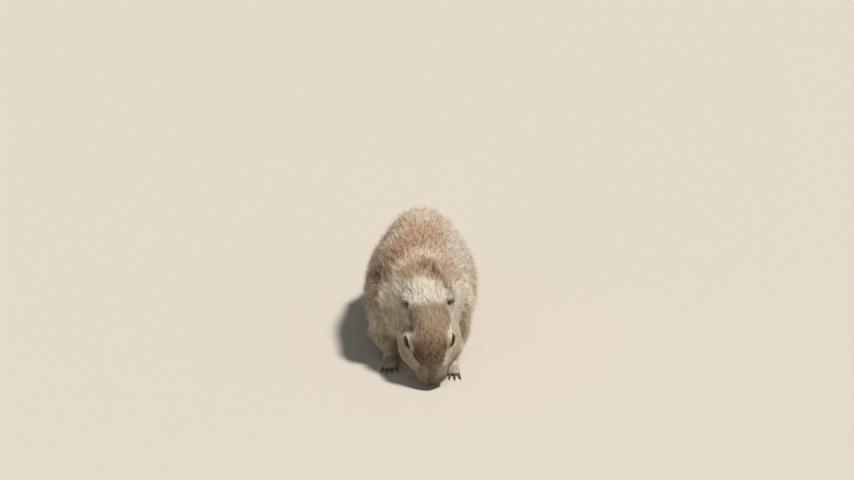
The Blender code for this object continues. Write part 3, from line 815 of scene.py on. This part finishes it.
skin_mesh.calc_loop_triangles()
triangles = read(skin_mesh.loop_triangles, "vertices", 3, np.int32)
triangle_loops = read(skin_mesh.loop_triangles, "loops", 3, np.int32)
skin_map = read(skin_mesh.uv_layers["OFBake"].uv, "vector", 2)

# Hairs are scattered over the skin, as close as the coat's count says, in proportion.
HAIR_TOTAL = 243000
corners = surface.places[triangles]
areas = norms(np.cross(corners[:, 1] - corners[:, 0], corners[:, 2] - corners[:, 0])) / 2
expected = areas * (hair_count * (bare < 0.5))[triangles].mean(axis=1)
reached = np.cumsum(expected)
wanted = (np.arange(HAIR_TOTAL) + draws.random(HAIR_TOTAL)) * reached[-1] / HAIR_TOTAL
picked = np.minimum(np.searchsorted(reached, wanted), len(triangles) - 1)
first, second = np.sort(draws.random((2, HAIR_TOTAL)), axis=0)
shares = np.stack((first, second - first, 1.0 - second), axis=1)


def at_roots(field):
    """A field of the skin's vertices at the hair roots."""
    values = field[triangles[picked]]
    return dot_rows(values, shares) if values.ndim == 2 else np.einsum("ijk,ij->ik", values, shares)


roots = at_roots(surface.places)
root_normals = unit(at_roots(skin_normals))
root_map = np.einsum("ijk,ij->ik", skin_map[triangle_loops[picked]], shares)
flow = at_roots(lie)
flow = unit(flow - root_normals * dot_rows(flow, root_normals)[:, None])
length = at_roots(hair_length)
width = at_roots(hair_width)
cover = at_roots(coat_depth)
pull = at_roots(lock_pull)
piece_of = part_of[triangles[picked, 0]]

# Each hair leans to the middle of its lock, and a lock has its own turn, lift and tone. Turns are in
# radians, and the whorls turn whole stretches of the coat together.
HAIRS_IN_LOCK = 14
LOCK_TURN, LOCK_LIFT, HAIR_TURN = 0.24, 0.16, 0.10
WHORL_TURN, WHORL_WAVE = 0.22, 0.03
locks = draws.choice(HAIR_TOTAL, HAIR_TOTAL // HAIRS_IN_LOCK, replace=False)
lock_tree = KDTree(len(locks))
for index, place in enumerate(roots[locks]):
    lock_tree.insert(place, index)
lock_tree.balance()
lock_of = np.array([lock_tree.find(place)[1] for place in roots.tolist()])
lock_turn = draws.normal(0.0, LOCK_TURN, len(locks))[lock_of]
lock_lift = draws.normal(1.0, LOCK_LIFT, len(locks))[lock_of]
lock_tone = draws.normal(0.0, 1.0, len(locks))[lock_of]
lock_middle = roots[locks][lock_of]

turn = lock_turn + draws.normal(0.0, HAIR_TURN, HAIR_TOTAL) + WHORL_TURN * wandering(roots, WHORL_WAVE, 9)
sideways = np.cross(root_normals, flow)
heading = flow * np.cos(turn)[:, None] + sideways * np.sin(turn)[:, None]
sideways = np.cross(root_normals, heading)

# Most tips lie at the coat's depth. Strays are finer and stand up. Guard hairs, where the coat is long, are
# longer and stand highest, at most GUARD_MOST over the coat.
STRAY_SHARE, STRAY_FINE = 0.06, 0.6
GUARD_SHARE, GUARD_COAT = 0.022, 0.0035
GUARD_HIGHER, GUARD_PAST, GUARD_LONGER, GUARD_MOST = 1.5, 0.0015, 1.25, 0.0058
STEEPEST = 0.85
length = length * np.clip(draws.normal(1.0, 0.12, HAIR_TOTAL), 0.6, 1.35)
height = cover * lock_lift * draws.uniform(0.80, 1.08, HAIR_TOTAL)
stray = draws.random(HAIR_TOTAL) < STRAY_SHARE
height = np.where(stray, height * draws.uniform(1.15, 1.8, HAIR_TOTAL), height)
width = np.where(stray, width * STRAY_FINE, width)
guard = (draws.random(HAIR_TOTAL) < GUARD_SHARE) & (cover > GUARD_COAT)
height = np.where(guard, height * GUARD_HIGHER + GUARD_PAST, height)
length = np.where(guard, length * GUARD_LONGER, length)
height = np.minimum(height, np.minimum(length * STEEPEST, cover + GUARD_MOST))

# A hair rises steeply, is widest at its middle point and lies down towards its tip: the shares of its run
# and height at the middle point, and of the pull to its lock there and at the tip.
MIDDLE_RUN, MIDDLE_HIGH, MIDDLE_PULL, TIP_PULL = 0.36, 0.58, 0.22, 0.62
run = np.sqrt(np.maximum(length**2 - height**2, 0.0))
to_middle = lock_middle - roots
to_middle -= root_normals * dot_rows(to_middle, root_normals)[:, None]
middles = roots + heading * (run * MIDDLE_RUN)[:, None] + root_normals * (height * MIDDLE_HIGH)[:, None]
middles += to_middle * (MIDDLE_PULL * pull)[:, None]
tips = roots + heading * run[:, None] + root_normals * height[:, None]
tips += to_middle * (TIP_PULL * pull)[:, None]

# The tips are brought down by as much as the skin below them has fallen away.
DROP_MOST, MIDDLE_DROP = 0.0035, 0.13
skin_tree = surface.tree()
below_tips = tips - root_normals * height[:, None]
landed = [skin_tree.find_nearest(place)[:2] for place in below_tips.tolist()]
ground = np.array([place for place, _ in landed])
ground_normals = np.array([normal for _, normal in landed])
drop = np.clip(dot_rows(below_tips - ground, ground_normals), 0.0, DROP_MOST)
tips -= ground_normals * drop[:, None]
middles -= ground_normals * (MIDDLE_DROP * drop)[:, None]

# A hair is a closed spindle: its root under the skin, three corners at its widest place, and its tip.
ROOT_UNDER = 0.0003
HALF_WIDE, SIDES_LOW, RIDGE_HIGH = 0.5, 0.18, 0.42
LEAST_HEIGHTS = np.array((0.0, 0.0001, 0.0001, 0.0003, 0.0002))
ALONG_HAIR = (0.0, 0.42, 0.42, 0.42, 1.0)
CORNERS = len(ALONG_HAIR)
HAIR_FACES = np.array(((0, 2, 1), (0, 3, 2), (0, 1, 3), (4, 1, 2), (4, 2, 3), (4, 3, 1)), np.int32)
# Each corner's place in the hair's patch of the map, which is 0.003 across.
HAIR_MAP = np.array(((0.0, -0.0015), (-0.0015, 0.0), (0.0015, 0.0), (0.0, 0.0002), (0.0, 0.0015)))
roots_in = roots - root_normals * ROOT_UNDER
axis = unit(tips - roots_in)
ridge = unit(np.cross(axis, sideways)) * -1.0
ridge *= np.sign(dot_rows(ridge, root_normals))[:, None]
half_across = sideways * (width * HALF_WIDE)[:, None]
low = ridge * (width * SIDES_LOW)[:, None]
high = ridge * (width * RIDGE_HIGH)[:, None]
sides = (middles - half_across - low, middles + half_across - low, middles + high)
points = np.stack((roots_in, *sides, tips), axis=1)
points[:, :, 2] = np.maximum(points[:, :, 2], LEAST_HEIGHTS)

# A hair takes the marking between its middle and its tip. Locks and hairs differ a little in tone.
LOCK_TONE, HAIR_TONE = 0.11, 0.07
hair_colours = markings(0.45 * middles + 0.55 * tips)
# The hairs in the ears' dishes are darker, partly as painted shade.
hair_colours = over(hair_colours, "#9A8672", at_roots(ear_inside) * 0.75)
tone = 1.0 + LOCK_TONE * lock_tone + HAIR_TONE * draws.normal(0.0, 1.0, HAIR_TOTAL)
hair_colours *= tone[:, None]
grain = draws.random(HAIR_TOTAL)

# Faces that look outwards are shaded partly as the body below them is.
OWN_SHADING, BODY_SHADING, LOOKS_OUT = 0.45, 0.55, 0.12


def hair_mesh(name, chosen):
    """One coat mesh of the chosen hairs."""
    count = len(chosen)
    loops = count * HAIR_FACES.size
    mesh = bpy.data.meshes.new(name)
    mesh.vertices.add(count * CORNERS)
    mesh.loops.add(loops)
    mesh.polygons.add(count * len(HAIR_FACES))
    shape = points[chosen]
    mesh.vertices.foreach_set("co", shape.astype(np.float32).ravel())
    faces = HAIR_FACES[None] + (np.arange(count, dtype=np.int32) * CORNERS)[:, None, None]
    mesh.loops.foreach_set("vertex_index", faces.ravel())
    mesh.polygons.foreach_set("loop_start", np.arange(0, loops, 3, dtype=np.int32))
    mesh.update(calc_edges=True)
    flat = shape[:, HAIR_FACES]
    facing = np.cross(flat[:, :, 1] - flat[:, :, 0], flat[:, :, 2] - flat[:, :, 0])
    facing /= np.maximum(np.linalg.norm(facing, axis=2, keepdims=True), 1e-12)
    outward = root_normals[chosen][:, None, :]
    towards = (facing * outward).sum(axis=2, keepdims=True)
    soft = OWN_SHADING * facing + BODY_SHADING * outward
    soft /= np.linalg.norm(soft, axis=2, keepdims=True)
    shading = np.where(towards > LOOKS_OUT, soft, facing)
    colours = with_alpha(np.repeat(hair_colours[chosen], CORNERS, axis=0))
    attribute(mesh, "custom_normal", "FLOAT_VECTOR", "CORNER", np.repeat(shading[:, :, None, :], 3, axis=2))
    attribute(mesh, "markings", "FLOAT_COLOR", "POINT", colours)
    attribute(mesh, "along", "FLOAT", "POINT", np.tile(ALONG_HAIR, count))
    attribute(mesh, "grain", "FLOAT", "POINT", np.repeat(grain[chosen], CORNERS))
    layer = mesh.uv_layers.new(name="OFBake")
    spots = root_map[chosen][:, None, None, :] + HAIR_MAP[HAIR_FACES][None]
    layer.uv.foreach_set("vector", spots.astype(np.float32).ravel())
    return mesh


def hair_material():
    """A hair: darker at the root as painted shade, some tips pale and some brown, with a soft sheen."""
    material, tree = new_material("prairie_dog_hair")
    along = stored(tree, "along", "Fac")
    grain_value = stored(tree, "grain", "Fac")
    # Painted shade: the hair darkens towards its root, deep in the coat.
    shade = ramp(tree, along, ((0.0, 0.42), (0.45, 0.84), (0.8, 1.0), (1.0, 1.0)))
    base = mixed(tree, 1.0, stored(tree, "markings", "Color"), shade, "MULTIPLY")
    # Ticking: flecks about 2 mm wide and 5 mm long, drawn out along the back, fainter on neck and face.
    place = object_place(tree)
    drawn_out = add_node(tree, "ShaderNodeMapping", Vector=place, Scale=(1.0, 0.4, 1.0)).outputs["Vector"]
    fleck = noise(tree, drawn_out, 520.0, 2.0)
    ticking = add_node(tree, "ShaderNodeMapRange", Value=fleck,
                       From_Min=0.36, From_Max=0.64, To_Min=0.70, To_Max=1.30).outputs["Result"]
    behind = add_node(tree, "ShaderNodeSeparateXYZ", Vector=place).outputs["Y"]
    ticked = add_node(tree, "ShaderNodeMapRange", Value=behind,
                      From_Min=-0.090, From_Max=-0.066, To_Min=0.40).outputs["Result"]
    ticking = add_node(tree, "ShaderNodeMix", n0=ticked, n2=1.0, n3=ticking).outputs[0]
    base = mixed(tree, 1.0, base, ticking, "MULTIPLY")
    # About a third of the hairs have pale tips and a sixth have brown ones.
    pale = ramp(tree, grain_value, ((0.0, 0.0), (0.66, 0.0), (0.74, 0.55), (1.0, 0.75)))
    brown = ramp(tree, grain_value, ((0.0, 0.42), (0.12, 0.28), (0.18, 0.0), (1.0, 0.0)))
    tip = ramp(tree, along, ((0.0, 0.0), (0.5, 0.35), (1.0, 1.0)))
    for chosen, colour in ((pale, "#EADCC2"), (brown, "#5A3B22")):
        tinted = add_node(tree, "ShaderNodeMath", {"operation": "MULTIPLY"}, n0=chosen, n1=tip).outputs[0]
        base = mixed(tree, tinted, base, linear(colour))
    sheen = {"Sheen_Weight": 0.16, "Sheen_Roughness": 0.45}
    return finished(material, base, Roughness=0.62, Specular_IOR_Level=0.28, **sheen)


def skin_material():
    """Short underfur over the skin: the same markings, darker as painted shade, with a hair relief about 0.4 mm
    across.
    """
    material, tree = new_material("prairie_dog_skin")
    fine = noise(tree, object_place(tree), 2500.0, 3.0)
    # Painted shade: the underfur is darker than the coat's markings.
    shade = ramp(tree, fine, ((0.3, 0.50), (0.7, 0.85)))
    base = mixed(tree, 1.0, stored(tree, "markings", "Color"), shade, "MULTIPLY")
    return finished(material, base, Roughness=0.7, Normal=relief(tree, fine, 0.4, 0.0002))


def placed(piece, material, slot, *nodes):
    """A visible piece, which rides on the body and stands for the named CAD nodes."""
    piece.data.materials.append(material)
    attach(piece, "root")
    if nodes:
        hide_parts(*nodes)
    return piece


hair = hair_material()
skin_mesh.materials.clear()
placed(skin, skin_material(), "coat", *FLESH)

# The coat in pieces, each named for the CAD nodes below it and under 200,000 triangles, six to a hair.
PIECES = {
    "coat_face": ("muzzle", "head", "jaw"),
    "coat_ears": ("ear_left", "ear_right"),
    "coat_neck": ("neck",),
    "coat_chest": ("chest",),
    "coat_belly": ("belly",),
    "coat_rump": ("rump",),
    "coat_tail": ("tail_base", "tail_end"),
    "coat_forelegs": ("shoulder_left", "shoulder_right", "forearm_left", "forearm_right",
                      "forepaw_left", "forepaw_right"),
    "coat_hind_legs": ("haunch_left", "haunch_right", "hind_foot_left", "hind_foot_right"),
}
MOST_HAIRS = 33000
for name, nodes in PIECES.items():
    chosen = np.flatnonzero(np.isin(piece_of, [FLESH.index(node) for node in nodes]))
    batches = np.array_split(chosen, math.ceil(len(chosen) / MOST_HAIRS))
    for number, batch in enumerate(batches):
        title = name if len(batches) == 1 else f"{name}_{number + 1}"
        placed(in_scene(title, hair_mesh(title, batch)), hair, "coat")


def new_piece(name, shape, material, slot, *nodes):
    """A smooth-shaded piece from a bmesh."""
    mesh = mesh_of(name, shape)
    mesh.shade_smooth()
    return placed(in_scene(name, mesh), material, slot, *nodes)


def piece_from_curve(name, lines, thick, cyclic, material, slot):
    """A piece of round strands along the lines, each a list of (place, share of the thickness)."""
    strands = bpy.data.curves.new(name, "CURVE")
    strands.dimensions = "3D"
    strands.bevel_depth = thick
    strands.bevel_resolution = 2
    strands.use_fill_caps = not cyclic
    for line in lines:
        spline = strands.splines.new("POLY")
        spline.points.add(len(line) - 1)
        spline.use_cyclic_u = cyclic
        for point, (place, share) in zip(spline.points, line):
            point.co = (*place, 1.0)
            point.radius = share
    shape = bmesh.new()
    shape.from_mesh(as_mesh(in_scene("holder", strands)))
    bmesh.ops.remove_doubles(shape, verts=shape.verts, dist=1e-7)
    bmesh.ops.recalc_face_normals(shape, faces=shape.faces)
    return new_piece(name, shape, material, slot)


def eye_material():
    """A wet, near-black brown eye with a sharp highlight and faint clouds about 3 mm across."""
    material, tree = new_material("eye_wet_dark_brown")
    base = ramp(tree, noise(tree, object_place(tree), 300.0, 2.0), ((0.35, "#080504"), (0.75, "#170D08")))
    return finished(material, base, Roughness=0.08, IOR=1.376, Specular_IOR_Level=0.35)


def bare_skin_material():
    """Dark bare skin of the nose and lids: fine leather, pebbled every 0.25 mm, with a damp shine."""
    material, tree = new_material("bare_dark_skin")
    place = object_place(tree)
    pebble = add_node(tree, "ShaderNodeTexVoronoi", Vector=place, Scale=4000.0).outputs["Distance"]
    base = ramp(tree, pebble, ((0.1, "#3B2F2A"), (0.7, "#211916")))
    return finished(material, base, Roughness=0.42, Normal=relief(tree, pebble, 0.35, 0.00008))


eye_dark = eye_material()
bare_skin = bare_skin_material()
RIM_POINTS, RIM_OVER, RIM_THICK = 56, 0.00012, 0.00032


def add_eye(node):
    """An eyeball in its CAD node's place, and the bare rim of the lids round the opening."""
    ball = bmesh.new()
    bmesh.ops.create_uvsphere(ball, u_segments=48, v_segments=32, radius=EYE_RADIUS)
    bmesh.ops.translate(ball, verts=ball.verts, vec=Vector(eye_places[node]))
    side_name = node.removeprefix("eye_")
    new_piece(f"eyeball_{side_name}", ball, eye_dark, "eye", node)
    out, forward, up = eye_axes(EYES[node])
    round_lids = np.linspace(0.0, 2.0 * math.pi, RIM_POINTS, endpoint=False)
    run_long, run_high = np.cos(round_lids), np.sin(round_lids)
    long_angle = run_long * np.where(run_long > 0, LID_FRONT, LID_BACK)
    edge = out + np.tan(long_angle)[:, None] * forward + np.tan(run_high * LID_HIGH)[:, None] * up
    edge = eye_places[node] + unit(edge) * (EYE_RADIUS + RIM_OVER)
    rim = [(place, 1.0) for place in edge]
    piece_from_curve(f"lid_rim_{side_name}", [rim], RIM_THICK, True, bare_skin, "bare_skin")


for node in EYES:
    add_eye(node)

# The nose: a low pad with a nostril on each side, slanting up outwards, and a groove down its middle, in
# shares of the pad's half sizes.
NOSTRIL_ACROSS, NOSTRIL_ABOVE, NOSTRIL_SLANT = 0.60, 0.02, 0.35
NOSTRIL_WIDE, NOSTRIL_HIGH, NOSTRIL_DEEP = 0.20, 0.17, 0.27
CLEFT_WIDE, CLEFT_TOP, CLEFT_FADE, CLEFT_DEEP = 0.09, 0.1, 0.3, 0.08
FRONT_END = 0.1


def nose_dent(across, along, above):
    """How far the pad goes in at a place on it."""
    if along >= FRONT_END:
        return 0.0
    beside = abs(across) - NOSTRIL_ACROSS
    higher = above - NOSTRIL_ABOVE - NOSTRIL_SLANT * beside
    nostril = math.exp(-((beside / NOSTRIL_WIDE) ** 2 + (higher / NOSTRIL_HIGH) ** 2))
    past_top = max(above - CLEFT_TOP, 0.0)
    cleft = math.exp(-((across / CLEFT_WIDE) ** 2)) * math.exp(-((past_top / CLEFT_FADE) ** 2))
    return NOSTRIL_DEEP * nostril + CLEFT_DEEP * cleft


pad = bmesh.new()
bmesh.ops.create_uvsphere(pad, u_segments=64, v_segments=48, radius=1.0)
for vert in pad.verts:
    vert.co *= 1.0 - nose_dent(vert.co.x, vert.co.z, -vert.co.y)
    vert.co = in_head(*(NOSE_PLACE + NOSE_SIZE * (vert.co.x, vert.co.z, -vert.co.y)))
new_piece("nose", pad, bare_skin, "bare_skin")


def whisker_material():
    """A stiff whisker: brown to pale horn, smooth and a little shiny."""
    material, tree = new_material("whisker_hair")
    base = ramp(tree, noise(tree, object_place(tree), 150.0, 1.0), ((0.35, "#4A4038"), (0.65, "#A79C8D")))
    return finished(material, base, Roughness=0.4)


# Ten whiskers a side, in three rows beside the nose, sweeping out and back: where the first of the top row
# grows in the head's frame, the steps to the next and to the next row, and how far they stray.
WHISKER_ROWS = (3, 4, 3)
WHISKER_ALONG, WHISKER_ABOVE = 0.0065, 0.0030
WHISKER_STEP, ROW_STEP, WHISKER_STRAY = 0.0028, 0.0030, 0.0004
WHISKER_LONG, WHISKER_LONGER, WHISKER_THICK = 0.016, 0.003, 0.00010
WHISKER_SAG = 0.35


def whisker_line(side, row, number):
    """A whisker's line from inside the skin to its tip, with its share of the thickness at each point."""
    along = WHISKER_ALONG + WHISKER_STEP * number + draws.uniform(-WHISKER_STRAY, WHISKER_STRAY)
    above = WHISKER_ABOVE - ROW_STEP * row + draws.uniform(-WHISKER_STRAY, WHISKER_STRAY)
    outer = Vector(in_head(side * 0.040, along, above))
    root = skin_tree.ray_cast(outer, Vector(head_direction(-side, 0.0, 0.0)), 0.06)[0]
    heading = unit(head_direction(side, 0.25 + 0.22 * number, 0.30 - 0.35 * row)[None])[0]
    drop = np.array((0.0, 0.0, -1.0)) * 0.22 + head_direction(0.0, 0.45, 0.0)
    long = (WHISKER_LONG + WHISKER_LONGER * number) * draws.uniform(0.85, 1.1)
    steps = np.linspace(-0.06, 1.0, 10)
    places = np.array(root) + heading * (steps * long)[:, None]
    places = places + drop * (WHISKER_SAG * long * steps**2)[:, None]
    places[:, 2] = np.maximum(places[:, 2], 0.0004)
    return [(place, 1.0 - 0.85 * max(step, 0.0)) for place, step in zip(places, steps)]


whiskers = [whisker_line(side, row, number)
            for side in (1.0, -1.0) for row, count in enumerate(WHISKER_ROWS) for number in range(count)]
piece_from_curve("whiskers", whiskers, WHISKER_THICK, False, whisker_material(), "coat")


def claw_material():
    """Horn, worn smooth: dark brown with paler streaks about 0.5 mm apart."""
    material, tree = new_material("claw_horn")
    base = ramp(tree, noise(tree, object_place(tree), 2000.0, 2.0), ((0.3, "#3E352E"), (0.7, "#7A6D60")))
    return finished(material, base, Roughness=0.42)


claw_horn = claw_material()
# Grown this little, a paw's claws stay apart.
CLAW_GROWN = 0.00004


def add_claws(paw):
    """The five claws of one paw, rounded, in their CAD nodes' places."""
    nodes = [f"claw_{paw}_{toe}" for toe in range(1, 6)]
    gathered = bmesh.new()
    gathered.from_mesh(grown_together(nodes, CLAW_GROWN))
    bmesh.ops.join_triangles(
        gathered, faces=gathered.faces, angle_face_threshold=0.7, angle_shape_threshold=0.7)
    claws = new_piece(f"claws_{paw}", gathered, claw_horn, "claw", *nodes)
    rounding = claws.modifiers.new("rounding", "SUBSURF")
    rounding.levels = rounding.render_levels = 2


for paw in ("fore_left", "fore_right", "hind_left", "hind_right"):
    add_claws(paw)


def stage_floor():
    """A plain pale studio floor."""
    shape = bmesh.new()
    bmesh.ops.create_grid(shape, x_segments=1, y_segments=1, size=20.0)
    floor = in_scene("floor", mesh_of("floor", shape))
    plain = new_material("studio_floor")[0]
    floor.data.materials.append(finished(plain, linear("#C9C4BC"), Roughness=0.9))


def soft_light(name, direction, strength, spread, colour):
    """A wide distant lamp, as a large softbox far off in that direction."""
    lamp_data = bpy.data.lights.new(name, "SUN")
    lamp_data.energy = strength
    lamp_data.angle = math.radians(spread)
    lamp_data.color = linear(colour)[:3]
    lamp = in_scene(name, lamp_data)
    lamp.location = AIM + Vector(direction) * 2.0
    lamp.rotation_euler = (-Vector(direction)).to_track_quat("-Z", "Y").to_euler()


stage_floor()
soft_light("key", (0.39, -0.16, 0.90), 3.85, 8.0, "#FFF9F1")
soft_light("fill", (-0.6, -0.7, 0.5), 0.15, 60.0, "#F2F2F4")
world = bpy.data.worlds.new("studio")
world.use_nodes = True
# The studio's walls: low down as pale as the floor, so that no edge shows behind it, and dimmer above.
WALLS = ((0.0, "#E0D6C8"), (0.03, "#E0D6C8"), (0.12, "#7C7A77"), (1.0, "#7C7B79"))
sky = world.node_tree
around = add_node(sky, "ShaderNodeTexCoord").outputs["Generated"]
up = add_node(sky, "ShaderNodeSeparateXYZ", Vector=around).outputs["Z"]
sky.links.new(ramp(sky, up, WALLS), sky.nodes["Background"].inputs["Color"])
scene.world = world
scene.view_settings.view_transform = "Standard"
